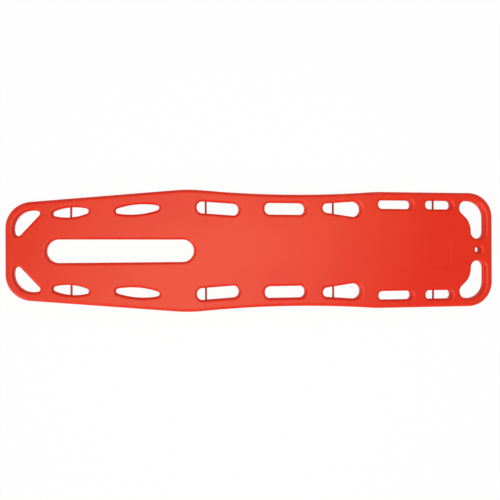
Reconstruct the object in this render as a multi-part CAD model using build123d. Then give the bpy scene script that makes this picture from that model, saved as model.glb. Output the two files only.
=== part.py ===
from build123d import *

import os
from math import asin, atan2, copysign, cos, degrees, pi, radians, sin, sqrt, tan

# Spine board: a one-piece moulded skin filled with foam, pierced by hand and strap openings.
# Every opening is drawn as a plan and carried through the board; pins, walls and runners follow them.
# Millimetres. +X points to the head end, +Z to the side the patient lies on, +Y to the patient's right.
# The origin is the middle of the board on the ground, so the runners stand on z = 0.

# Lengths along the board from the foot end: each opening, and the web between it and the next
foot_end_web = 165
ankle_length = 127
ankle_knee_web = 96
knee_length = 158.5
knee_thigh_web = 138
thigh_length = 157
thigh_hip_web = 97.5
hip_length = 155
hip_rib_web = 68
rib_length = 148.5
rib_shoulder_web = 69.5
shoulder_length = 132
shoulder_neck_web = 56
neck_length = 105.5
neck_grip_web = 33
head_grip_length = 103
head_end_bar = 30.5

# Outline in plan; widths are measured across the whole board, lengths from one width to the next
foot_end_width = 342
foot_taper_length = 658
widest_width = 458
widest_waist_length = 387
waist_width = 421
waist_head_length = 324
head_start_width = 446.5
head_end_width = 442
corner_radius = 96
flank_radius = 570

# Section through the board. The rim is really rounded to about 13 mm and the mouths of the openings
# to about 11 mm; a flat bevel that takes away the same section stands for each round.
panel_thickness = 44
runner_height = 6
skin = 3
opening_wall = 8
rim_bevel = 8.5
mouth_bevel = 7.2

# Bars left as handles between an opening and the edge of the board
grip_bar = 31.5
leg_bar = 40.5
rib_bar = 33
foot_end_bar = 29.5

# Long slot between the legs
leg_slot_foot_web = 142.5
leg_slot_length = 531.5
leg_slot_foot_width = 85.5
leg_slot_head_width = 83

# Widths across the openings beside the edge: lenses, straight slots and a drop, whose outer side
# turns in a little towards the foot
ankle_width = 36.5
knee_width = 37
lens_tip_radius = 10
wide_slot_width = 44.5
wide_slot_corner = 20.5
rib_foot_width = 36.5
rib_head_width = 58.5
rib_turn = 1.4
narrow_slot_width = 33.5
narrow_slot_corner = 15.5

# Pins across four of the openings, each this far from the opening's foot end
ankle_pin_place = 64
thigh_pin_place = 34
rib_pin_place = 42.5
neck_pin_place = 35.5
pin_diameter = 8
pin_seat = 11
pin_end_wall = 3

# Round-backed handles in the two foot corners: one tip near the foot end, one along the flank
foot_grip_depth = 50
foot_grip_end_tip = 13
foot_grip_flank_tip = 9
foot_grip_angle = 135

# Bent handles in the two head corners: a leg along the end bar and an arm along the side bar
head_grip_inner_y = 42.5
head_grip_leg_width = 56.5
head_grip_arm_width = 40.5
head_grip_bend_angle = 41.5
head_grip_bend_radius = 80

# Hook hole and the shallow bare recess at the head, measured from the head end
hook_hole_end_gap = 58.5
hook_hole_diameter = 23
recess_end_gap = 174
recess_length = 76
recess_width = 150
recess_depth = 1
recess_corner = 8

# Lengthwise runners under the board
runner_sole_width = 26
runner_draft = 20
runner_end_gap = 30

# Stiffener bars bedded in the foam, each at a share of the width of solid panel beside the long slot
stiffener_width = 14
stiffener_thickness = 8
stiffener_end_gap = 22
stiffener_places = {"inner": 0.25, "outer": 0.75}

# Plugs in the underside, on the middle line
fill_plug_x = 270
fill_plug_diameter = 26
vent_plug_slot_gap = 55
vent_plug_end_gap = 185
vent_plug_diameter = 14
plug_length = 12

# Share of its width to which the end of an opening is rounded at most; 0.5 would be a full round
end_round = 0.48

# Share of the straight side of the head grip's leg that its bend takes at most
bend_share = 0.8

# Places along the board that follow; the middle of the board is x = 0
side_length = sum((
    foot_end_web, ankle_length, ankle_knee_web, knee_length, knee_thigh_web, thigh_length, thigh_hip_web,
    hip_length, hip_rib_web, rib_length, rib_shoulder_web, shoulder_length, shoulder_neck_web, neck_length,
))
board_length = side_length + neck_grip_web + head_grip_length + head_end_bar
foot_x = -board_length / 2
head_x = board_length / 2
ankle_x = foot_x + foot_end_web + ankle_length / 2
knee_x = ankle_x + ankle_length / 2 + ankle_knee_web + knee_length / 2
thigh_x = knee_x + knee_length / 2 + knee_thigh_web + thigh_length / 2
hip_x = thigh_x + thigh_length / 2 + thigh_hip_web + hip_length / 2
rib_x = hip_x + hip_length / 2 + hip_rib_web + rib_length / 2
shoulder_x = rib_x + rib_length / 2 + rib_shoulder_web + shoulder_length / 2
neck_x = shoulder_x + shoulder_length / 2 + shoulder_neck_web + neck_length / 2
widest_x = foot_x + foot_taper_length
waist_x = widest_x + widest_waist_length
head_start_x = waist_x + waist_head_length
leg_slot_foot_x = foot_x + leg_slot_foot_web
leg_slot_head_x = leg_slot_foot_x + leg_slot_length
hook_hole_x = head_x - hook_hole_end_gap
recess_x = head_x - recess_end_gap - recess_length / 2

# Heights that follow
underside_z = runner_height
top_z = underside_z + panel_thickness
middle_z = underside_z + panel_thickness / 2


def both_sides(shape):
    """A shape on the patient's right and its mirror image on the left."""
    return {"right": shape, "left": mirror(shape, about=Plane.XZ)}


def side_lines(side):
    """One long edge of the board: foot taper, waist arc and the nearly parallel head."""
    foot = (foot_x, side * foot_end_width / 2)
    widest = (widest_x, side * widest_width / 2)
    waist = (waist_x, side * waist_width / 2)
    head_start = (head_start_x, side * head_start_width / 2)
    head = (head_x, side * head_end_width / 2)
    return [Line(foot, widest), ThreePointArc(widest, waist, head_start), Line(head_start, head)]


def outline():
    """Plan of the board, with round corners and softened flanks."""
    right = side_lines(1)
    left = side_lines(-1)
    ends = [Line(left[0] @ 0, right[0] @ 0), Line(left[-1] @ 1, right[-1] @ 1)]
    plan = make_face(Curve(children=left + right + ends).edges())
    foot, widest, head_start, head = plan.vertices().group_by(Axis.X)
    plan = fillet(widest + head_start, flank_radius)
    stations = plan.vertices().group_by(Axis.X)
    return fillet(stations[0] + stations[-1], corner_radius)


def edge_at(x):
    """Half width of the board at x, and the angle of its edge there in degrees."""
    taper, arc, head = side_lines(1)
    for line in (taper, head):
        start, end = line @ 0, line @ 1
        if start.X <= x <= end.X:
            slope = (end.Y - start.Y) / (end.X - start.X)
            return start.Y + slope * (x - start.X), degrees(atan2(slope, 1))
    centre = arc.arc_center
    bow = copysign(1, centre.Y)
    fall = sqrt(arc.radius**2 - (x - centre.X) ** 2)
    return centre.Y - bow * fall, degrees(asin(bow * (x - centre.X) / arc.radius))


def beside_edge(x, bar, width):
    """Place of an opening turned along the board's edge at x, with a bar of even width outside it."""
    half_width, angle = edge_at(x)
    y = half_width - (bar + width / 2) / cos(radians(angle))
    return Pos(x, y) * Rot(0, 0, angle)


def lens(length, width):
    """Two shallow arcs that meet in small round tips."""
    tip = lens_tip_radius
    reach = length / 2 - tip
    radius = (reach**2 + width**2 / 4 - tip**2) / (width - 2 * tip)
    point = sqrt(radius**2 - (radius - width / 2) ** 2)
    upper = ThreePointArc((-point, 0), (0, width / 2), (point, 0))
    lower = ThreePointArc((-point, 0), (0, -width / 2), (point, 0))
    plan = make_face(Curve(children=[upper, lower]).edges())
    return fillet(plan.vertices(), tip)


def drop(length, foot_width, head_width):
    """Two round ends of different width, joined by their common tangents."""
    a, b = foot_width / 2, head_width / 2
    span = length - a - b
    lean = asin((b - a) / span)
    foot_centre = -length / 2 + a
    head_centre = length / 2 - b
    foot_top = (foot_centre - a * sin(lean), a * cos(lean))
    foot_low = (foot_top[0], -foot_top[1])
    head_top = (head_centre - b * sin(lean), b * cos(lean))
    head_low = (head_top[0], -head_top[1])
    sides = [
        ThreePointArc(foot_low, (-length / 2, 0), foot_top),
        Line(foot_top, head_top),
        ThreePointArc(head_top, (length / 2, 0), head_low),
        Line(head_low, foot_low),
    ]
    return make_face(Curve(children=sides).edges())


def foot_grip():
    """Round-backed opening, concentric with the foot corner and cut off straight across it."""
    half_width, taper = edge_at(foot_x + corner_radius)
    radius = corner_radius - foot_end_bar
    centre_y = half_width - (grip_bar + radius) / cos(radians(taper))
    chord = radius - foot_grip_depth
    plan = Circle(radius) & Pos(chord + radius, 0) * Rectangle(2 * radius, 2 * radius)
    plan = fillet(plan.vertices().sort_by(Axis.Y)[-1], foot_grip_end_tip)
    plan = fillet(plan.vertices().sort_by(Axis.Y)[0], foot_grip_flank_tip)
    return Pos(foot_x + corner_radius, centre_y) * Rot(0, 0, foot_grip_angle + taper / 2) * plan


def head_grip():
    """Bent opening in the head corner: a leg along the end bar and an arm along the side bar."""
    bend = radians(head_grip_bend_angle)
    outer_x = head_x - head_end_bar
    inner_x = outer_x - head_grip_leg_width
    arm_x = outer_x - head_grip_length
    half_width, _ = edge_at(inner_x)
    outer_y = half_width - grip_bar
    arm_y = outer_y - head_grip_arm_width
    bend_y = arm_y - (inner_x - arm_x) * tan(bend)
    points = [
        (outer_x, head_grip_inner_y),
        (inner_x, head_grip_inner_y),
        (inner_x, bend_y),
        (arm_x, arm_y),
        (arm_x, outer_y),
        (outer_x, outer_y),
    ]
    leg_end = end_round * head_grip_leg_width
    arm_end = 2 * end_round * head_grip_arm_width / (1 + tan((pi / 2 - bend) / 2))
    straight = bend_y - head_grip_inner_y - leg_end
    inner = min(head_grip_bend_radius, bend_share * straight / tan(bend / 2))
    outer = min(corner_radius - grip_bar, 2 * end_round * (head_grip_length - arm_end))
    radii = [leg_end, leg_end, inner, arm_end, arm_end, outer]
    return make_face(FilletPolyline(*points, radius=radii, close=True).edges())


def slot(length, width, corner):
    """Straight opening with well rounded ends."""
    return RectangleRounded(length, width, min(corner, end_round * width))


def rib_place():
    """Place of the drop, turned so that its outer side runs nearly along the board's edge."""
    span = rib_length - (rib_foot_width + rib_head_width) / 2
    lean = degrees(asin((rib_head_width - rib_foot_width) / 2 / span))
    return beside_edge(rib_x, rib_bar, (rib_foot_width + rib_head_width) / 2) * Rot(0, 0, rib_turn - lean)


def side_openings():
    """The seven openings along one edge: plan at the origin, place, and the pin's x or None."""
    ankle = lens(ankle_length, ankle_width)
    knee = lens(knee_length, knee_width)
    thigh = slot(thigh_length, wide_slot_width, wide_slot_corner)
    hip = slot(hip_length, wide_slot_width, wide_slot_corner)
    rib = drop(rib_length, rib_foot_width, rib_head_width)
    shoulder = slot(shoulder_length, narrow_slot_width, narrow_slot_corner)
    neck = slot(neck_length, narrow_slot_width, narrow_slot_corner)
    ankle_pin = ankle_x - ankle_length / 2 + ankle_pin_place
    thigh_pin = thigh_x - thigh_length / 2 + thigh_pin_place
    rib_pin = rib_x - rib_length / 2 + rib_pin_place
    neck_pin = neck_x - neck_length / 2 + neck_pin_place
    return {
        "ankle": (ankle, beside_edge(ankle_x, grip_bar, ankle_width), ankle_pin),
        "knee": (knee, beside_edge(knee_x, leg_bar, knee_width), None),
        "thigh": (thigh, beside_edge(thigh_x, leg_bar, wide_slot_width), thigh_pin),
        "hip": (hip, beside_edge(hip_x, grip_bar, wide_slot_width), None),
        "rib": (rib, rib_place(), rib_pin),
        "shoulder": (shoulder, beside_edge(shoulder_x, grip_bar, narrow_slot_width), None),
        "neck": (neck, beside_edge(neck_x, grip_bar, narrow_slot_width), neck_pin),
    }


def block(plan, low, high):
    """A plan raised between two heights."""
    return extrude(Pos(0, 0, low) * plan, high - low)


def post(plan, pinned):
    """Plan of the solid left round an opening inside the hollow, thicker where a pin is seated."""
    size = plan.bounding_box().size
    side_wall = pin_seat + pin_end_wall if pinned else opening_wall
    return Rectangle(size.X + 2 * opening_wall, size.Y + 2 * side_wall)


def bevel(body, length, mouths):
    """Bevels the mouths of the openings on the top of a plate, or its outer rim on both faces."""
    top, underside = body.faces().sort_by(Axis.Z)[-1], body.faces().sort_by(Axis.Z)[0]
    if mouths:
        edges = [edge for wire in top.inner_wires() for edge in wire.edges()]
    else:
        edges = top.outer_wire().edges() + underside.outer_wire().edges()
    return chamfer(edges, length)


def lane():
    """Widths from the middle line between which the right half is solid panel for its whole length."""
    low = max(leg_slot_foot_width, leg_slot_head_width) / 2 + opening_wall
    posts = [place * post(plan, pin_x is not None) for plan, place, pin_x in side_openings().values()]
    return low, min(plan.bounding_box().min.Y for plan in posts)


def runner():
    """Drafted lengthwise runner under the right half, down to the ground."""
    low = foot_grip_plan.bounding_box().max.X + runner_end_gap
    high = head_grip_plan.bounding_box().min.X - runner_end_gap
    sole = Pos((low + high) / 2, sum(lane()) / 2) * Rectangle(high - low, runner_sole_width)
    return extrude(sole, runner_height, taper=-runner_draft)


def hollow():
    """Inside of the skin: it stops short of the corner handles and leaves a post round each opening."""
    low = foot_grip_plan.bounding_box().max.X + opening_wall
    high = head_grip_plan.bounding_box().min.X - opening_wall
    band = Pos((low + high) / 2, 0) * Rectangle(high - low, 2 * widest_width)
    body = block(offset(outline(), -skin) & band, underside_z + skin, top_z - skin)
    body = bevel(body, rim_bevel - skin * (2 - sqrt(2)), False)
    posts = [leg_slot_place * post(leg_slot_plan, False)]
    for plan, place, pin_x in side_openings().values():
        posts += both_sides(place * post(plan, pin_x is not None)).values()
    for plan in posts:
        body -= block(plan, underside_z, top_z)
    return body


def stiffener(share):
    """Bar along the board in the middle of the foam, at a share of the lane's width."""
    low = foot_grip_plan.bounding_box().max.X + opening_wall + stiffener_end_gap
    high = head_grip_plan.bounding_box().min.X - opening_wall - stiffener_end_gap
    inner, outer = lane()
    y = inner + share * (outer - inner)
    return Pos((low + high) / 2, y, middle_z) * Box(high - low, stiffener_width, stiffener_thickness)


def clip_pin(plan, x):
    """Round pin straight across an opening at x, seated in the wall on both sides."""
    across = Edge.make_line((x, 0), (x, widest_width)) & plan
    ends = across.bounding_box()
    length = ends.size.Y + 2 * pin_seat
    middle = (ends.min.Y + ends.max.Y) / 2
    return Pos(x, middle, middle_z) * Rot(90, 0, 0) * Cylinder(pin_diameter / 2, length)


def plug(x, diameter):
    """Plug pressed through the skin into the foam, flush with the underside."""
    return Pos(x, 0) * block(Circle(diameter / 2), underside_z, underside_z + plug_length)


leg_slot_plan = drop(leg_slot_head_x - leg_slot_foot_x, leg_slot_head_width, leg_slot_foot_width)
leg_slot_place = Pos((leg_slot_head_x + leg_slot_foot_x) / 2, 0) * Rot(0, 0, 180)
foot_grip_plan = foot_grip()
head_grip_plan = head_grip()
openings = [leg_slot_place * leg_slot_plan, Pos(hook_hole_x, 0) * Circle(hook_hole_diameter / 2)]
pieces = {}
for name, (plan, place, pin_x) in side_openings().items():
    openings += both_sides(place * plan).values()
    if pin_x is not None:
        for side, pin in both_sides(clip_pin(place * plan, pin_x)).items():
            pieces[f"clip_pin_{name}_{side}"] = pin
for plan in (foot_grip_plan, head_grip_plan):
    openings += both_sides(plan).values()
for name, share in stiffener_places.items():
    for side, bar in both_sides(stiffener(share)).items():
        pieces[f"stiffener_{name}_{side}"] = bar
pieces["fill_plug"] = plug(fill_plug_x, fill_plug_diameter)
pieces["vent_plug_foot"] = plug(leg_slot_head_x + vent_plug_slot_gap, vent_plug_diameter)
pieces["vent_plug_head"] = plug(head_x - vent_plug_end_gap, vent_plug_diameter)

shell = block(outline(), underside_z, top_z)
for plan in openings:
    shell -= block(plan, underside_z, top_z)
shell = bevel(bevel(shell, mouth_bevel, True), rim_bevel, False)
for half in both_sides(runner()).values():
    shell += half
recess = RectangleRounded(recess_length, recess_width, recess_corner)
shell -= Pos(recess_x, 0) * block(recess, top_z - recess_depth, top_z)
core = hollow()
shell -= core
for piece in pieces.values():
    shell -= piece
    core -= piece
pieces["board_shell"] = shell
pieces["foam_core"] = core

os.makedirs("parts", exist_ok=True)
for name, piece in pieces.items():
    piece.label = name
    export_step(piece, f"parts/{name}.step")
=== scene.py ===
from math import atan2, cos, pi, radians, sin, tan

import bmesh
import bpy
import numpy as np
from bpy.props import FloatProperty, FloatVectorProperty, PointerProperty
from mathutils import Matrix, Vector


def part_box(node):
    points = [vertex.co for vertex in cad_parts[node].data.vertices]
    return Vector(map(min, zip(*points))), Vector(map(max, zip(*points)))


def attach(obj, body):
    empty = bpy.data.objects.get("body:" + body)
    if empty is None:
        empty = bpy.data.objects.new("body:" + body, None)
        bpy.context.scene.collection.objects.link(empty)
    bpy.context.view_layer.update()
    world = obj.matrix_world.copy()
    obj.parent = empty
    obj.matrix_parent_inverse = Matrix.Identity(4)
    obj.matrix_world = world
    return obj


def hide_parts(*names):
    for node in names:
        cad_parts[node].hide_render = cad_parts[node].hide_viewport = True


bl_info = {
    "name": "Spine board",
    "version": (1, 0, 0),
    "blender": (4, 5, 0),
    "location": "3D View > Sidebar > Spine board",
    "description": "Moulded rescue board with hand openings, clip pins and a plain studio",
    "category": "Mesh",
}

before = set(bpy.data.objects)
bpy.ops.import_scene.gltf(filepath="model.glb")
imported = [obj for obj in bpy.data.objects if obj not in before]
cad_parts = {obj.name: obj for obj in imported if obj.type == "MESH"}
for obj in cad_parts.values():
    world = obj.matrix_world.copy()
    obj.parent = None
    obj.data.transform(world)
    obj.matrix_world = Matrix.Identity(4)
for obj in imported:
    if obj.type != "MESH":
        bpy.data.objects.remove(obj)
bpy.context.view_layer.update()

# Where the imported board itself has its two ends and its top
board_low, board_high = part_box("board_shell")
foot_x, head_x = board_low.x, board_high.x
top_z = board_high.z

# Two heights or points closer than this are the same one, in metres
touching = 1e-6

# Points across a large round of a section, and across a small one
round_points = 9
small_round_points = 5


def size(name, millimetres, description):
    """A length that a user may change, kept in metres and given in millimetres."""
    return FloatProperty(
        name=name, description=description, default=millimetres / 1000, min=0, precision=4, unit="LENGTH"
    )


def turn(name, degrees, description):
    """An angle that a user may change."""
    return FloatProperty(name=name, description=description, default=radians(degrees), subtype="ANGLE")


def colour(name, red, green, blue, description):
    """A linear colour that a user may change."""
    return FloatVectorProperty(
        name=name, description=description, default=(red, green, blue), min=0, max=1, subtype="COLOR"
    )


def share(name, default, description):
    """A plain number from 0 up."""
    return FloatProperty(name=name, description=description, default=default, min=0)


class BoardPlan(bpy.types.PropertyGroup):
    """The board seen from above: its outline and the openings along it, from the foot end."""

    foot_end_width: size("Foot end width", 342, "Width between the foot corners before they are rounded")
    foot_taper: size("Foot taper", 658, "Length over which the board widens from the foot end")
    widest: size("Widest", 458, "Width where the taper ends, before the flanks are softened")
    to_waist: size("To the waist", 387, "Length from the widest place to the waist")
    waist: size("Waist", 421, "Width at the waist")
    to_head: size("Waist to head", 324, "Length from the waist to where the head part starts")
    head_start: size("Head start width", 446.5, "Width where the head part starts")
    head_end_width: size("Head end width", 442, "Width between the head corners before they are rounded")
    corner: size("Corner radius", 96, "Radius of the four corners in plan")
    flank: size("Flank radius", 570, "Radius that softens the outline at its widest places")
    grip_bar: size("Grip bar", 31.5, "Width of the bar between an opening and the long edge")
    leg_bar: size("Leg bar", 40.5, "Width of the bar beside the knee and thigh openings")
    rib_bar: size("Rib bar", 33, "Width of the bar beside the rib opening")
    foot_bar: size("Foot end bar", 29.5, "Width of the bar across the foot end")
    head_bar: size("Head end bar", 30.5, "Width of the bar across the head end")
    foot_web: size("Foot end web", 165, "From the foot end to the ankle opening")
    ankle: size("Ankle opening", 127, "Length of the ankle opening")
    ankle_knee: size("Ankle to knee", 96, "Web between the ankle and knee openings")
    knee: size("Knee opening", 158.5, "Length of the knee opening")
    knee_thigh: size("Knee to thigh", 138, "Web between the knee and thigh openings")
    thigh: size("Thigh opening", 157, "Length of the thigh opening")
    thigh_hip: size("Thigh to hip", 97.5, "Web between the thigh and hip openings")
    hip: size("Hip opening", 155, "Length of the hip opening")
    hip_rib: size("Hip to rib", 68, "Web between the hip and rib openings")
    rib: size("Rib opening", 148.5, "Length of the rib opening")
    rib_shoulder: size("Rib to shoulder", 69.5, "Web between the rib and shoulder openings")
    shoulder: size("Shoulder opening", 132, "Length of the shoulder opening")
    shoulder_neck: size("Shoulder to neck", 56, "Web between the shoulder and neck openings")
    neck: size("Neck opening", 105.5, "Length of the neck opening")


class OpeningSizes(bpy.types.PropertyGroup):
    """Widths and roundings of the openings."""

    ankle_width: size("Ankle width", 36.5, "Width across the ankle lens")
    knee_width: size("Knee width", 37, "Width across the knee lens")
    lens_tip: size("Lens tip", 10, "Radius of the tips of a lens")
    wide: size("Wide slot", 44.5, "Width of the thigh and hip slots")
    wide_corner: size("Wide slot corner", 20.5, "Corner radius of the thigh and hip slots")
    narrow: size("Narrow slot", 33.5, "Width of the shoulder and neck slots")
    narrow_corner: size("Narrow slot corner", 15.5, "Corner radius of the shoulder and neck slots")
    rib_foot: size("Rib foot width", 36.5, "Width of the rib opening at its small end")
    rib_head: size("Rib head width", 58.5, "Width of the rib opening at its large end")
    rib_turn: turn("Rib turn", 1.4, "Angle by which the rib opening's outer side turns in towards the foot")
    slot_web: size("Leg slot web", 142.5, "From the foot end to the long slot between the legs")
    slot_length: size("Leg slot length", 531.5, "Length of the long slot")
    slot_foot: size("Leg slot foot width", 85.5, "Width of the long slot at its foot end")
    slot_head: size("Leg slot head width", 83, "Width of the long slot at its head end")
    foot_grip_depth: size("Foot grip depth", 50, "Depth of the corner handle at the foot")
    foot_grip_end_tip: size("Foot grip end tip", 13, "Radius of the corner handle's tip near the foot end")
    foot_grip_flank_tip: size("Foot grip flank tip", 9, "Radius of the corner handle's tip along the flank")
    foot_grip_angle: turn("Foot grip angle", 135, "Direction in which the foot corner handle bulges")
    head_grip_inner: size("Head grip inner end", 42.5, "From the middle line to the head corner handle")
    head_grip_leg: size("Head grip leg", 56.5, "Width of the handle's leg along the end bar")
    head_grip_arm: size("Head grip arm", 40.5, "Width of the end of the handle's arm along the side bar")
    head_grip_length: size("Head grip length", 103, "Length of the head corner handle along the board")
    head_grip_angle: turn("Head grip bend", 41.5, "Angle of the bend in the head corner handle")
    head_grip_bend: size("Head grip bend radius", 80, "Radius of the bend in the head corner handle")
    hook_hole: size("Hook hole", 23, "Diameter of the hole on the middle line")
    hook_gap: size("Hook hole place", 58.5, "From the head end to the middle of the hook hole")
    end_round: share("End round", 0.48, "Share of its width to which an end is rounded at most")


class EdgeSizes(bpy.types.PropertyGroup):
    """Section of the skin: its rounded edges, the recess, the runners and the plug seats."""

    thickness: size("Panel thickness", 44, "Thickness of the board without its runners")
    rim_round: size("Rim round", 13, "Radius of the outer rim, above and below")
    mouth_round: size("Mouth round", 11, "Radius of the mouths of the openings")
    margin: size("Flat margin", 1.6, "Narrow flat strip kept beside every rounded edge")
    recess_gap: size("Recess place", 174, "From the head end to the recess")
    recess_length: size("Recess length", 76, "Length of the bare recess")
    recess_width: size("Recess width", 150, "Width of the bare recess")
    recess_depth: size("Recess depth", 1, "Depth of the bare recess")
    recess_corner: size("Recess corner", 8, "Corner radius of the bare recess")
    recess_edge: size("Recess edge", 0.45, "Radius of the recess's upper and lower edge")
    runner_sole: size("Runner sole", 26, "Width of the runner on the ground")
    runner_draft: turn("Runner draft", 20, "Slope of the runner's sides")
    runner_gap: size("Runner end gap", 30, "From the corner handles to the ends of the runners")
    runner_round: size("Runner round", 1.6, "Radius along the edge of the runner's sole")
    runner_corner: size("Runner corner", 5, "Radius of the runner's corners in plan")
    wall: size("Opening wall", 8, "Solid wall left round an opening")
    pinned_wall: size("Pinned wall", 14, "Solid wall left beside an opening that carries a pin")
    seam: size("Plug seam", 0.5, "Width of the groove round a plug")
    seam_depth: size("Plug seam depth", 1.2, "Depth of the groove round a plug")


class BoardFinish(bpy.types.PropertyGroup):
    """Colours and wear."""

    skin: colour("Skin", 0.89, 0.028, 0.003, "Moulded polyethylene of the board")
    skin_deep: colour("Skin, deeper", 0.87, 0.017, 0.001, "The same, where the colour is denser")
    scuff: colour("Scuff", 0.86, 0.20, 0.13, "Chalky marks where the board is rubbed")
    pin: colour("Pin", 0.55, 0.018, 0.010, "Nylon of the clip pins")
    plug: colour("Plug", 0.52, 0.020, 0.012, "Plugs in the underside")
    foam: colour("Foam", 0.78, 0.66, 0.42, "Foam inside the board")
    bar: colour("Stiffener", 0.56, 0.54, 0.40, "Glass fibre bars in the foam")
    paper: colour("Floor", 0.90, 0.90, 0.90, "Studio paper under the board")
    grain: share("Grain", 0.00009, "Height of the mould's fine grain in metres")
    wave: share("Waves", 0.0009, "Height of the slow waves from cooling in metres")
    gloss: share("Roughness", 0.40, "Roughness of the moulded skin")
    coat: share("Coat", 0.6, "Weight of the glossy layer where the mould left the skin polished")


class BoardStudio(bpy.types.PropertyGroup):
    """Floor, light and camera."""

    floor_size: size("Floor size", 12000, "Side of the square paper floor")
    floor_drop: size("Floor drop", 0.2, "Gap between the paper and the soles of the runners")
    floor_white: share("Floor white", 0.96, "Share of the paper that the camera sees as plain white")
    sky: share("Sky light", 0.39, "Strength of the even light from all round")
    key: share("Key light", 1.1, "Strength of the sun beside the foot end")
    key_spread: turn("Key spread", 40, "Apparent size of the sun, which softens its shadows")
    sheen: share("Sheen light", 36, "Power in watts of the lamp above the board")
    sheen_size: size("Sheen lamp size", 2000, "Side of the square lamp above the board")
    sheen_colour: colour("Sheen colour", 0.8, 1, 0.72, "Short of red, so that the red skin keeps its hue")
    lens: share("Lens", 47.75, "Focal length of the camera in millimetres")
    sensor: share("Sensor", 36, "Width of the camera's sensor in millimetres")
    distance: size("Camera distance", 2500, "From the camera to the point that it looks at")
    tilt: turn("Camera tilt", 7.2, "Angle by which the camera looks towards the head end")
    roll: turn("Camera roll", 0.235, "Turn of the camera about its own axis")


def props():
    """The sizes and colours of the skin, by group."""
    scene = bpy.context.scene
    return scene.board_plan, scene.board_openings, scene.board_edges, scene.board_finish


# Plans. A plan is an array of arcs, one row each: centre x, centre y, radius, start angle and sweep.
# It runs anticlockwise, a hollow bend has a negative sweep, and straight runs join arc to arc.


def rounded(points, radii):
    """Closed polygon with rounded corners. Each arc's centre lies its radius away from both sides of its
    corner, and the arc sweeps through the angle between them."""
    corner, radius = np.array(points, float), np.array(radii, float)
    into = corner - np.roll(corner, 1, 0)
    into /= np.linalg.norm(into, axis=1)[:, None]
    out = np.roll(into, -1, 0)
    bend = np.arctan2(into[:, 0] * out[:, 1] - into[:, 1] * out[:, 0], (into * out).sum(1))
    start = corner - into * (radius * np.tan(np.abs(bend) / 2))[:, None]
    inward = np.stack([-into[:, 1], into[:, 0]], 1) * np.sign(bend)[:, None]
    centre = start + inward * radius[:, None]
    angle = np.arctan2(*(start - centre).T[::-1])
    return np.column_stack([centre, radius, angle, bend])


def rectangle(length, width, corner):
    """Rectangle on the origin with rounded corners."""
    x, y = length / 2, width / 2
    return rounded([(x, -y), (x, y), (-x, y), (-x, -y)], [corner] * 4)


def lens(length, width, tip):
    """Two shallow arcs tangent to a small circle at each tip."""
    reach = length / 2 - tip
    radius = (reach**2 + width**2 / 4 - tip**2) / (width - 2 * tip)
    offset = radius - width / 2
    lean = atan2(offset, reach)
    return np.array([
        (0, -offset, radius, lean, pi - 2 * lean),
        (-reach, 0, tip, pi - lean, 2 * lean),
        (0, offset, radius, pi + lean, pi - 2 * lean),
        (reach, 0, tip, -lean, 2 * lean),
    ])


def drop(length, foot_width, head_width):
    """Two round ends of different width joined by their common tangents."""
    small, large = foot_width / 2, head_width / 2
    lean = np.arcsin((large - small) / (length - small - large))
    return np.array([
        (length / 2 - large, 0, large, -pi / 2 - lean, pi + 2 * lean),
        (small - length / 2, 0, small, pi / 2 + lean, pi - 2 * lean),
    ])


def placed(arcs, x, y, angle):
    """A plan turned by an angle about the origin and moved to a place."""
    turned = arcs.copy()
    turned[:, 0] = x + cos(angle) * arcs[:, 0] - sin(angle) * arcs[:, 1]
    turned[:, 1] = y + sin(angle) * arcs[:, 0] + cos(angle) * arcs[:, 1]
    turned[:, 3] += angle
    return turned


def mirrored(arcs):
    """The same plan on the patient's left: y changes sign and the arcs run in the other order."""
    other = arcs[::-1].copy()
    other[:, 1] *= -1
    other[:, 3] = -(other[:, 3] + other[:, 4])
    return other


def circle_through(a, b, c):
    """Centre and radius of the circle through three points, from the two bisectors."""
    rows = 2 * np.array([b - a, c - a])
    centre = np.linalg.solve(rows, [b @ b - a @ a, c @ c - a @ a])
    return centre, np.linalg.norm(a - centre)


def edge_lines(plan):
    """The right edge before its corners are softened: five points and the waist's circle."""
    widest_x = foot_x + plan.foot_taper
    waist_x = widest_x + plan.to_waist
    foot = np.array([foot_x, plan.foot_end_width / 2])
    widest = np.array([widest_x, plan.widest / 2])
    waist = np.array([waist_x, plan.waist / 2])
    start = np.array([waist_x + plan.to_head, plan.head_start / 2])
    head = np.array([head_x, plan.head_end_width / 2])
    return foot, widest, start, head, circle_through(widest, waist, start)


def edge_at(plan, x):
    """Half width of the board at x, and the direction of its edge there."""
    foot, widest, start, head, (centre, radius) = edge_lines(plan)
    for low, high in ((foot, widest), (start, head)):
        if low[0] <= x <= high[0]:
            slope = (high[1] - low[1]) / (high[0] - low[0])
            return low[1] + slope * (x - low[0]), atan2(slope, 1)
    across = (x - centre[0]) / radius
    return centre[1] - radius * np.sqrt(1 - across**2), float(np.arcsin(across))


def softened(corner, onward, centre, radius, flank):
    """Arc of the flank's radius that touches an edge line and the waist's circle near a corner: its
    centre is a flank's radius inside the line and the sum of both radii from the circle's centre."""
    along = (onward - corner) / np.linalg.norm(onward - corner)
    along *= -np.sign(along[0])
    inward = np.array([-along[1], along[0]])
    base = corner + flank * inward - centre
    b, c = along @ base, base @ base - (radius + flank) ** 2
    roots = -b + np.array([-1, 1]) * np.sqrt(b * b - c)
    middle = centre + base + along * roots[np.argmin(np.abs(roots))]
    return middle, atan2(*(-inward)[::-1]), atan2(*(centre - middle)[::-1])


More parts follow.
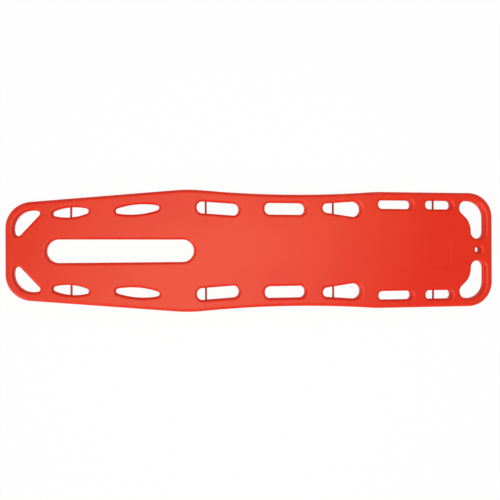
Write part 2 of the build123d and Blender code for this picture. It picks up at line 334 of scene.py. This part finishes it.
def outline(plan):
    """The whole board, anticlockwise from the middle of its head end."""
    foot, widest, start, head, (centre, radius) = edge_lines(plan)
    near, near_line, near_touch = softened(start, head, centre, radius, plan.flank)
    far, far_line, far_touch = softened(widest, foot, centre, radius, plan.flank)
    from_near = atan2(*(near - centre)[::-1])
    from_far = atan2(*(far - centre)[::-1])
    corners = rounded([head * (1, -1), head, start, widest, foot, foot * (1, -1)], [plan.corner] * 6)
    right = np.array([
        corners[1],
        (*near, plan.flank, near_line, near_touch - near_line),
        (*centre, radius, from_near, from_far - from_near),
        (*far, plan.flank, far_touch, far_line - far_touch),
        corners[4],
    ])
    return np.vstack([right, mirrored(right)])


def beside_edge(plan, x, bar, width):
    """Place of an opening turned along the edge at x, with a bar of even width outside it."""
    half_width, angle = edge_at(plan, x)
    return x, half_width - (bar + width / 2) / cos(angle), angle


def foot_grip(plan, sizes):
    """Circle about the foot corner's middle, cut off by a chord, with a rounded tip at each end of it."""
    half_width, taper = edge_at(plan, foot_x + plan.corner)
    radius = plan.corner - plan.foot_bar
    tip = np.array([sizes.foot_grip_end_tip, sizes.foot_grip_flank_tip])
    across = radius - sizes.foot_grip_depth + tip
    height = np.sqrt((radius - tip) ** 2 - across**2)
    end, flank = np.arctan2(height, across)
    arcs = np.array([
        (0, 0, radius, -flank, flank + end),
        (across[0], height[0], tip[0], end, pi - end),
        (across[1], -height[1], tip[1], pi, pi - flank),
    ])
    y = half_width - (plan.grip_bar + radius) / cos(taper)
    return placed(arcs, foot_x + plan.corner, y, sizes.foot_grip_angle + taper / 2)


def head_grip(plan, sizes):
    """Bent opening in the head corner: a leg along the end bar and an arm along the side bar."""
    bend = sizes.head_grip_angle
    outer_x = head_x - plan.head_bar
    inner_x, arm_x = outer_x - sizes.head_grip_leg, outer_x - sizes.head_grip_length
    outer_y = edge_at(plan, inner_x)[0] - plan.grip_bar
    arm_y = outer_y - sizes.head_grip_arm
    bend_y = arm_y - (inner_x - arm_x) * tan(bend)
    leg_end = sizes.end_round * sizes.head_grip_leg
    arm_end = 2 * sizes.end_round * sizes.head_grip_arm / (1 + tan((pi / 2 - bend) / 2))
    points = [
        (outer_x, outer_y),
        (arm_x, outer_y),
        (arm_x, arm_y),
        (inner_x, bend_y),
        (inner_x, sizes.head_grip_inner),
        (outer_x, sizes.head_grip_inner),
    ]
    radii = [plan.corner - plan.grip_bar, arm_end, arm_end, sizes.head_grip_bend, leg_end, leg_end]
    return rounded(points, radii)


def side_plans(plan, sizes):
    """The openings along the patient's right, each at the sum of the lengths and webs before it."""
    x = foot_x + plan.foot_web
    narrow = min(sizes.narrow_corner, sizes.end_round * sizes.narrow)
    wide = min(sizes.wide_corner, sizes.end_round * sizes.wide)
    rib_width = (sizes.rib_foot + sizes.rib_head) / 2
    rib_lean = sizes.rib_turn - np.arcsin((sizes.rib_head - sizes.rib_foot) / 2 / (plan.rib - rib_width))
    ankle = lens(plan.ankle, sizes.ankle_width, sizes.lens_tip)
    knee = lens(plan.knee, sizes.knee_width, sizes.lens_tip)
    thigh, hip = (rectangle(length, sizes.wide, wide) for length in (plan.thigh, plan.hip))
    rib = drop(plan.rib, sizes.rib_foot, sizes.rib_head)
    shoulder, neck = (rectangle(length, sizes.narrow, narrow) for length in (plan.shoulder, plan.neck))
    rows = [
        (plan.ankle, plan.ankle_knee, plan.grip_bar, sizes.ankle_width, ankle, 0),
        (plan.knee, plan.knee_thigh, plan.leg_bar, sizes.knee_width, knee, 0),
        (plan.thigh, plan.thigh_hip, plan.leg_bar, sizes.wide, thigh, 0),
        (plan.hip, plan.hip_rib, plan.grip_bar, sizes.wide, hip, 0),
        (plan.rib, plan.rib_shoulder, plan.rib_bar, rib_width, rib, rib_lean),
        (plan.shoulder, plan.shoulder_neck, plan.grip_bar, sizes.narrow, shoulder, 0),
        (plan.neck, 0, plan.grip_bar, sizes.narrow, neck, 0),
    ]
    plans = []
    for length, web, bar, width, arcs, lean in rows:
        place_x, place_y, angle = beside_edge(plan, x + length / 2, bar, width)
        plans.append(placed(arcs, place_x, place_y, angle + lean))
        x += length + web
    return plans + [foot_grip(plan, sizes), head_grip(plan, sizes)]


def hole_plans(plan, sizes):
    """Every opening through the board, on both sides and on the middle line."""
    right = side_plans(plan, sizes)
    slot = drop(sizes.slot_length, sizes.slot_head, sizes.slot_foot)
    slot_x = foot_x + sizes.slot_web + sizes.slot_length / 2
    hook = np.array([(head_x - sizes.hook_gap, 0, sizes.hook_hole / 2, 0, 2 * pi)])
    return right + [mirrored(arcs) for arcs in right] + [placed(slot, slot_x, 0, pi), hook]


# Surfaces. A band is a profile carried along a plan: every point of the plan is moved along its
# outward normal by the profile's first value and raised to the profile's second.


def traced(arcs, finest=radians(4), sag=0.00004):
    """Points and outward normals along a closed plan, closer together where it bends more."""
    points, normals = [], []
    for x, y, radius, start, sweep in arcs:
        step = min(finest, np.sqrt(8 * sag / radius))
        count = int(np.ceil(abs(sweep) / step)) + 1
        angle = start + sweep * np.linspace(0, 1, count)
        around = np.stack([np.cos(angle), np.sin(angle)], 1)
        points.append((x, y) + radius * around)
        normals.append(around * np.sign(sweep))
    points, normals = np.vstack(points), np.vstack(normals)
    apart = np.linalg.norm(points - np.roll(points, 1, 0), axis=1) > touching
    return points[apart], normals[apart]


def band(arcs, profile, inside_out=False):
    """Vertices and quads of a profile carried round a plan, facing the plan's inside unless turned."""
    points, normals = traced(arcs)
    profile = np.array(profile)
    across = points[:, None] + normals[:, None] * profile[None, :, :1]
    height = np.broadcast_to(profile[None, :, 1:], (len(points), len(profile), 1))
    vertices = np.concatenate([across, height], 2).reshape(-1, 3)
    index = np.arange(len(vertices)).reshape(len(points), len(profile))
    ahead = np.roll(index, -1, 0)
    quads = np.stack([index[:, :-1], ahead[:, :-1], ahead[:, 1:], index[:, 1:]], 2).reshape(-1, 4)
    return vertices, quads[:, ::-1] if inside_out else quads


def quarter(centre, radius, start, stop, count=round_points):
    """Points on an arc of a profile, from one angle to another."""
    angle = np.radians(np.linspace(start, stop, count))
    return np.stack([centre[0] + radius * np.cos(angle), centre[1] + radius * np.sin(angle)], 1)


def through_profile(edges, radius, side):
    """Edge of the panel from its top to its underside: flat margin, round, wall, round, margin.
    Side is 1 for an opening, which flares away from its middle, and -1 for the rim."""
    low, high = top_z - edges.thickness, top_z
    upper = quarter((radius, high - radius), radius, 90, 180)
    lower = quarter((radius, low + radius), radius, 180, 270)
    ends = [[(radius + edges.margin, high)], [(radius + edges.margin, low)]]
    return np.vstack([ends[0], upper, lower, ends[1]]) * (side, 1)


def recess_profile(edges):
    """Shallow step down from the top: a small round over the edge and one into the floor."""
    r, depth = edges.recess_edge, edges.recess_depth
    over = quarter((r, top_z - r), r, 90, 180, small_round_points)
    under = quarter((-r, top_z - depth + r), r, 0, -90, small_round_points)
    return np.vstack([[(r + edges.margin, top_z)], over, under, [(-r - edges.margin, top_z - depth)]])


def runner_profile(edges):
    """Side of a runner from the underside to its sole, drafted, with a rounded lower edge."""
    base = top_z - edges.thickness
    spread = base * tan(edges.runner_draft)
    r, draft = edges.runner_round, edges.runner_draft
    sole = quarter((-r, r), r, -np.degrees(draft), -90, small_round_points + 1)
    flat = [(-r - edges.margin, 0)]
    return np.vstack([[(spread + edges.margin, base)], [(spread, base)], sole, flat])


def seam_profile(edges):
    """Groove round a plug: over its lip and down the wall of its seat."""
    base = top_z - edges.thickness
    r = edges.seam / 2
    lip = quarter((r, base + r), r, 270, 180, small_round_points)
    return np.vstack([[(r + edges.margin, base)], lip, [(0, base + edges.seam_depth)]])


def seat_plan(node, edges):
    """Round seat of a plug, a seam wider than the plug."""
    low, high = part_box(node)
    radius = (high.x - low.x) / 2 + edges.seam
    return np.array([((low.x + high.x) / 2, (low.y + high.y) / 2, radius, 0, 2 * pi)])


def runner_plan(plan, sizes, edges):
    """Sole of the runner under the patient's right, midway between the long slot and the openings."""
    grip, head = traced(foot_grip(plan, sizes))[0], traced(head_grip(plan, sizes))[0]
    low = grip[:, 0].max() + edges.runner_gap
    high = head[:, 0].min() - edges.runner_gap
    inner = max(sizes.slot_foot, sizes.slot_head) / 2 + edges.wall
    ankle_x = foot_x + plan.foot_web + plan.ankle / 2
    _, y, angle = beside_edge(plan, ankle_x, plan.grip_bar, sizes.ankle_width)
    across = (sizes.ankle_width / 2 + edges.pinned_wall) * cos(angle)
    outer = y - across - (plan.ankle / 2 + edges.wall) * sin(angle)
    sole = rectangle(high - low, edges.runner_sole, edges.runner_corner)
    return placed(sole, (low + high) / 2, (inner + outer) / 2, 0)


def joined(parts):
    """One set of vertices and faces from several bands."""
    vertices, faces, count = [], [], 0
    for part_vertices, part_faces in parts:
        vertices.append(part_vertices)
        faces.append(part_faces + count)
        count += len(part_vertices)
    return np.vstack(vertices), np.vstack(faces)


def open_edge_heights(mesh):
    """Heights of both ends of every edge that only one face uses, and far above for all other edges."""
    ends = np.empty(len(mesh.edges) * 2, np.int32)
    used = np.empty(len(mesh.loops), np.int32)
    place = np.empty(len(mesh.vertices) * 3, np.float32)
    mesh.edges.foreach_get("vertices", ends)
    mesh.loops.foreach_get("edge_index", used)
    mesh.vertices.foreach_get("co", place)
    heights = place[2::3][ends.reshape(-1, 2)]
    heights[np.bincount(used, minlength=len(heights)) != 1] = np.inf
    return heights


def new_piece(name, vertices, faces, material, flats=()):
    """A smooth mesh object made of given vertices and faces. Each flat is the height of a face that is
    still open and the way that it looks: triangles fill it from its edges inward."""
    mesh = bpy.data.meshes.new(name)
    mesh.from_pydata(vertices, [], faces)
    heights = open_edge_heights(mesh)
    edit = bmesh.new()
    edit.from_mesh(mesh)
    edit.edges.ensure_lookup_table()
    rings = [np.flatnonzero(np.abs(heights - height).max(1) < touching) for height, _ in flats]
    rings = [[edit.edges[index] for index in ring] for ring in rings]
    for ring, (_, direction) in zip(rings, flats):
        bmesh.ops.triangle_fill(
            edit, use_beauty=True, use_dissolve=False, edges=ring, normal=(0, 0, direction)
        )
    edit.to_mesh(mesh)
    edit.free()
    mesh.shade_smooth()
    mesh.materials.append(material)
    piece = bpy.data.objects.new(name, mesh)
    bpy.context.scene.collection.objects.link(piece)
    return piece


# Materials


class Value:
    """An output socket that can stand in a Python expression: each operator adds a Math node."""

    def __init__(self, paint, socket):
        self.paint = paint
        self.socket = socket

    def maths(self, operation, *others):
        inputs = dict(enumerate((self, *others)))
        return self.paint.add("Math", {"operation": operation}, inputs)

    def __add__(self, other):
        return self.maths("ADD", other)

    def __sub__(self, other):
        return self.maths("SUBTRACT", other)

    def __mul__(self, other):
        return self.maths("MULTIPLY", other)

    def __rsub__(self, other):
        return self.paint.add("Math", {"operation": "SUBTRACT"}, {0: other, 1: self})

    __radd__ = __add__
    __rmul__ = __mul__

    def over(self, low, high):
        """0 below low, 1 above high and smooth between."""
        inputs = {"Value": self, "From Min": low, "From Max": high}
        return self.paint.add("MapRange", {"interpolation_type": "SMOOTHSTEP"}, inputs)


class Paint:
    """A material's node tree."""

    def __init__(self, name):
        self.material = bpy.data.materials.new(name)
        self.material.use_nodes = True
        self.tree = self.material.node_tree
        self.tree.nodes.clear()
        self.place = self.add("TexCoord", output="Object")

    def add(self, kind, settings=None, inputs=None, output=0):
        """Any node: its settings first, then the values or links of its sockets."""
        node = self.tree.nodes.new("ShaderNode" + kind)
        for name, value in (settings or {}).items():
            setattr(node, name, value)
        for name, value in (inputs or {}).items():
            if isinstance(value, Value):
                self.tree.links.new(value.socket, node.inputs[name])
            else:
                node.inputs[name].default_value = value
        return Value(self, node.outputs[output]) if node.outputs else None

    def noise(self, scale, detail=2.0, rough=0.5, stretch=(1, 1, 1)):
        """Cloudy pattern from 0 to 1, so many to the metre, drawn out along an axis if stretched."""
        place = self.add("Mapping", None, {"Vector": self.place, "Scale": stretch})
        inputs = {"Vector": place, "Scale": scale, "Detail": detail, "Roughness": rough}
        return self.add("TexNoise", None, inputs)

    def mixed(self, factor, first, second):
        """Colour between two colours."""
        inputs = {"Factor": factor, 6: first, 7: second}
        return self.add("Mix", {"data_type": "RGBA"}, inputs, 2)

    def bump(self, height, distance, under=None):
        """Normal of a surface raised by a height pattern, on top of another bump if there is one."""
        inputs = {"Height": height, "Distance": distance}
        if under is not None:
            inputs["Normal"] = under
        return self.add("Bump", None, inputs)

    def finish(self, **sockets):
        """Ends the material in a Principled shader whose sockets are given by name."""
        titles = [name.replace("_", " ").title().replace("Ior", "IOR") for name in sockets]
        shader = self.add("BsdfPrincipled", None, dict(zip(titles, sockets.values())))
        self.add("OutputMaterial", None, {"Surface": shader})
        return self.material


def rgba(values):
    """A colour property with full alpha."""
    return (*values, 1.0)


def moulded_skin(finish):
    """Red polyethylene: fine mould grain, slow waves from cooling, denser and paler patches, and
    chalky scuffs where an edge or a runner is rubbed."""
    paint = Paint("moulded_skin")
    cloud = paint.noise(2.2, 3.0, 0.55)
    grain = paint.noise(900, 3.0, 0.6)
    waves = paint.noise(7, 1.0, 0.4, (1, 1.6, 1))
    worn = paint.add("Attribute", {"attribute_name": "edge"}, None, "Fac")
    streak = paint.noise(60, 5.0, 0.65, (0.35, 1, 1))
    scuff = worn * streak.over(0.56, 0.74)
    base = paint.mixed(cloud.over(0.35, 0.68), rgba(finish.skin), rgba(finish.skin_deep))
    base = paint.mixed(scuff * 0.30, base, rgba(finish.scuff))
    rough = finish.gloss + 0.10 * (paint.noise(14, 4.0) - 0.5) + 0.06 * (grain - 0.5) + 0.14 * scuff
    smooth = paint.bump(waves, finish.wave)
    polish = paint.add("Attribute", {"attribute_name": "polish"}, None, "Fac")
    return paint.finish(
        base_color=base,
        roughness=rough,
        normal=paint.bump(grain, finish.grain, smooth),
        specular_ior_level=0.10,
        coat_weight=polish * (finish.coat - 0.25 * scuff),
        coat_roughness=0.36,
    )


def nylon(finish):
    """Red nylon rod: drawn lines along the pin and random patches that are a little darker and rougher."""
    paint = Paint("pin_nylon")
    lines = paint.noise(900, 2.0, 0.5, (1, 0.03, 1))
    patch = paint.noise(60, 3.0)
    base = paint.mixed(patch.over(0.3, 0.7), rgba(finish.pin), rgba(np.array(finish.pin) * 0.8))
    return paint.finish(
        base_color=base,
        roughness=0.30 + 0.12 * patch,
        normal=paint.bump(lines, distance=0.00004),
        specular_ior_level=0.5,
    )


def pressed_plug(finish):
    """Plug of the same plastic, turned smooth: fine grain, faint patches and a matt face."""
    paint = Paint("pressed_plug")
    grain = paint.noise(1400, 3.0, 0.6)
    patch = paint.noise(90, 3.0)
    base = paint.mixed(patch.over(0.35, 0.7), rgba(finish.plug), rgba(np.array(finish.plug) * 0.82))
    rough = 0.42 + 0.12 * patch
    return paint.finish(base_color=base, roughness=rough, normal=paint.bump(grain, distance=0.00005))


def rigid_foam(finish):
    """Closed-cell foam: small cells with darker walls."""
    paint = Paint("rigid_foam")
    cells = paint.add("TexVoronoi", {"feature": "F1"}, {"Vector": paint.place, "Scale": 700.0})
    walls = cells.over(0.25, 0.75)
    base = paint.mixed(walls, rgba(finish.foam), rgba(np.array(finish.foam) * 0.7))
    rough = 0.85 + 0.1 * walls
    return paint.finish(base_color=base, roughness=rough, normal=paint.bump(cells, distance=0.0004))


def glass_fibre(finish):
    """Pultruded bar: long glass strands in pale resin."""
    paint = Paint("glass_fibre")
    strands = paint.noise(700, 3.0, 0.6, (0.02, 1, 1))
    base = paint.mixed(strands.over(0.35, 0.65), rgba(finish.bar), rgba(np.array(finish.bar) * 0.7))
    rough = 0.5 + 0.2 * strands
    return paint.finish(base_color=base, roughness=rough, normal=paint.bump(strands, distance=0.0001))


def studio_paper(finish, white):
    """White studio paper that the camera sees as white, with the board's shadow left on it."""
    paint = Paint("studio_paper")
    fibre = paint.noise(1200, 3.0, 0.6)
    bumps = paint.bump(fibre, distance=0.00003)
    plain = paint.add("BsdfDiffuse", None, {"Color": rgba(finish.paper), "Normal": bumps})
    bright = paint.add("Emission", None, {"Color": (1, 1, 1, 1), "Strength": 1.0})
    camera, glossy, through = (
        paint.add("LightPath", output=f"Is {ray} Ray") for ray in ("Camera", "Glossy", "Transmission")
    )
    seen = camera + (glossy + through)
    shader = paint.add("MixShader", None, {0: seen * white, 1: plain, 2: bright})
    paint.add("OutputMaterial", None, {"Surface": shader})
    return paint.material


# Operators


class BOARD_OT_skin(bpy.types.Operator):
    """Moulded skin with its openings, rounded edges, recess and runners"""

    bl_idname = "spine_board.skin"
    bl_label = "Moulded skin"

    def execute(self, context):
        plan, sizes, edges, finish = props()
        mouth = through_profile(edges, edges.mouth_round, 1)
        parts = [band(outline(plan), through_profile(edges, edges.rim_round, -1), True)]
        parts += [band(arcs, mouth) for arcs in hole_plans(plan, sizes)]
        recess_x = head_x - edges.recess_gap - edges.recess_length / 2
        recess = rectangle(edges.recess_length, edges.recess_width, edges.recess_corner)
        parts.append(band(placed(recess, recess_x, 0, 0), recess_profile(edges)))
        runner = runner_plan(plan, sizes, edges)
        parts += [band(arcs, runner_profile(edges), True) for arcs in (runner, mirrored(runner))]
        plugs = sorted(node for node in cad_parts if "plug" in node)
        parts += [band(seat_plan(node, edges), seam_profile(edges), True) for node in plugs]
        base = top_z - edges.thickness
        ups = [(top_z, 1), (top_z - edges.recess_depth, 1)]
        downs = [(base, -1), (0, -1), (base + edges.seam_depth, -1)]
        vertices, faces = joined(parts)
        skin = new_piece("board_skin", vertices, faces, moulded_skin(finish), ups + downs)
        mark_edges(skin, edges)
        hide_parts("board_shell")
        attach(skin, "root")
        return {"FINISHED"}


def rising(values, low, high):
    """0 up to low, 1 from high on and straight between."""
    return np.clip((values - low) / (high - low), 0, 1)


def mark_edges(piece, edges):
    """Writes two attributes from each vertex's normal and height. "edge" is how exposed it is: full on
    rounds, walls and soles and little on the flats. "polish" is how glossy the mould left it: full
    where the skin faces up and on the flats below, and none on the walls and the lower rounds."""
    flat_lift, flat_exposure = 0.995, 0.12
    mesh = piece.data
    place = np.empty(len(mesh.vertices) * 3)
    normal = np.empty(len(mesh.vertices) * 3)
    mesh.vertices.foreach_get("co", place)
    mesh.vertices.foreach_get("normal", normal)
    height, lift = place[2::3], normal[2::3]
    exposed = np.where(np.abs(lift) < flat_lift, 1.0, flat_exposure)
    exposed[height < edges.margin] = 1.0
    polished = rising(lift, 0.35, 0.75) + rising(-lift, 0.95, 0.99)
    for name, values in (("edge", exposed), ("polish", polished)):
        attribute = mesh.attributes.new(name, "FLOAT", "POINT")
        attribute.data.foreach_set("value", values.astype(np.float32))


def recoat(words, material):
    """Gives the CAD nodes whose names start with some words a material in place of their own."""
    nodes = [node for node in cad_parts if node.startswith(words)]
    if not nodes:
        raise RuntimeError(f"No CAD node starts with {words}")
    for node in nodes:
        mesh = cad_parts[node].data
        mesh.materials.clear()
        mesh.materials.append(material)


class BOARD_OT_pins(bpy.types.Operator):
    """Clip pins across the ankle, thigh, rib and neck openings"""

    bl_idname = "spine_board.pins"
    bl_label = "Clip pins"

    def execute(self, context):
        recoat("clip_pin", nylon(context.scene.board_finish))
        return {"FINISHED"}


class BOARD_OT_plugs(bpy.types.Operator):
    """Fill and vent plugs in the underside"""

    bl_idname = "spine_board.plugs"
    bl_label = "Plugs"

    def execute(self, context):
        recoat(("fill_plug", "vent_plug"), pressed_plug(context.scene.board_finish))
        return {"FINISHED"}


class BOARD_OT_core(bpy.types.Operator):
    """Foam and stiffener bars inside the skin"""

    bl_idname = "spine_board.core"
    bl_label = "Foam and stiffeners"

    def execute(self, context):
        finish = context.scene.board_finish
        recoat("foam_core", rigid_foam(finish))
        recoat("stiffener", glass_fibre(finish))
        return {"FINISHED"}


class BOARD_OT_stage(bpy.types.Operator):
    """Paper floor, soft lamps and the camera above the board"""

    bl_idname = "spine_board.stage"
    bl_label = "Studio and camera"

    def execute(self, context):
        scene = context.scene
        studio = scene.board_studio
        corners = np.array([(-1, -1, 0), (1, -1, 0), (1, 1, 0), (-1, 1, 0)]) * studio.floor_size / 2
        paper = studio_paper(scene.board_finish, studio.floor_white)
        floor = new_piece("studio_floor", corners - (0, 0, studio.floor_drop), [(0, 1, 2, 3)], paper)
        add_world(scene, studio.sky)
        key = add_light("key", "SUN", (-1.9, -2.0, 1.7), studio.key)
        key.angle = studio.key_spread
        sheen = add_light("sheen", "AREA", (-0.07, -0.25, 2.65), studio.sheen)
        sheen.shape = "SQUARE"
        sheen.size = studio.sheen_size
        sheen.color = studio.sheen_colour
        add_camera(scene, studio)
        scene.view_settings.view_transform = "Standard"
        return {"FINISHED"}


def add_world(scene, strength):
    """Even pale light from all round, which the camera itself sees as plain white."""
    world = bpy.data.worlds.new("studio")
    world.use_nodes = True
    tree = world.node_tree
    light = tree.nodes["Background"]
    backdrop = tree.nodes.new("ShaderNodeBackground")
    rays = tree.nodes.new("ShaderNodeLightPath")
    mix = tree.nodes.new("ShaderNodeMixShader")
    for background, level in ((light, strength), (backdrop, 1)):
        background.inputs["Color"].default_value = (1, 1, 1, 1)
        background.inputs["Strength"].default_value = level
    tree.links.new(rays.outputs["Is Camera Ray"], mix.inputs[0])
    tree.links.new(light.outputs[0], mix.inputs[1])
    tree.links.new(backdrop.outputs[0], mix.inputs[2])
    tree.links.new(mix.outputs[0], tree.nodes["World Output"].inputs["Surface"])
    scene.world = world


def add_light(name, kind, place, power):
    """A light of some kind at a place, turned to the middle of the board."""
    light = bpy.data.lights.new(name, kind)
    light.energy = power
    holder = bpy.data.objects.new(name, light)
    holder.location = place
    holder.rotation_euler = (-Vector(place)).to_track_quat("-Z", "Y").to_euler()
    bpy.context.scene.collection.objects.link(holder)
    return light


def add_camera(scene, studio):
    """Camera above the legs that looks down and a little towards the head, with the board across the
    frame. Its right and up axes are the board's own, tilted and then rolled."""
    tilt, roll = studio.tilt, studio.roll
    aim = Vector((-0.0351, 0.0019, 0.025))
    ahead = Vector((sin(tilt), 0, -cos(tilt)))
    level, across = Vector((cos(tilt), 0, sin(tilt))), Vector((0, 1, 0))
    right = level * cos(roll) - across * sin(roll)
    up = level * sin(roll) + across * cos(roll)
    camera = bpy.data.cameras.new("camera")
    camera.lens = studio.lens
    camera.sensor_width = studio.sensor
    holder = bpy.data.objects.new("camera", camera)
    turned = Matrix((right, up, -ahead)).transposed().to_4x4()
    holder.matrix_world = Matrix.Translation(aim - ahead * studio.distance) @ turned
    scene.collection.objects.link(holder)
    scene.camera = holder


class BOARD_PT_panel(bpy.types.Panel):
    """Steps that build the board, in order"""

    bl_idname = "BOARD_PT_panel"
    bl_label = "Spine board"
    bl_space_type = "VIEW_3D"
    bl_region_type = "UI"
    bl_category = "Spine board"

    def draw(self, context):
        for step in steps:
            self.layout.operator(step.bl_idname)


steps = (BOARD_OT_skin, BOARD_OT_pins, BOARD_OT_plugs, BOARD_OT_core, BOARD_OT_stage)
groups = {
    "board_plan": BoardPlan,
    "board_openings": OpeningSizes,
    "board_edges": EdgeSizes,
    "board_finish": BoardFinish,
    "board_studio": BoardStudio,
}


def register():
    """Registers the property groups, the steps and the panel."""
    for group in (*groups.values(), *steps, BOARD_PT_panel):
        bpy.utils.register_class(group)
    for name, group in groups.items():
        setattr(bpy.types.Scene, name, PointerProperty(type=group))


def unregister():
    """Takes back what register did, in the other order."""
    for name in groups:
        delattr(bpy.types.Scene, name)
    for group in (BOARD_PT_panel, *steps, *groups.values()):
        bpy.utils.unregister_class(group)


def main():
    """Builds the board in order."""
    register()
    for step in (
        bpy.ops.spine_board.skin,
        bpy.ops.spine_board.pins,
        bpy.ops.spine_board.plugs,
        bpy.ops.spine_board.core,
        bpy.ops.spine_board.stage,
    ):
        step()


if __name__ == "__main__":
    main()
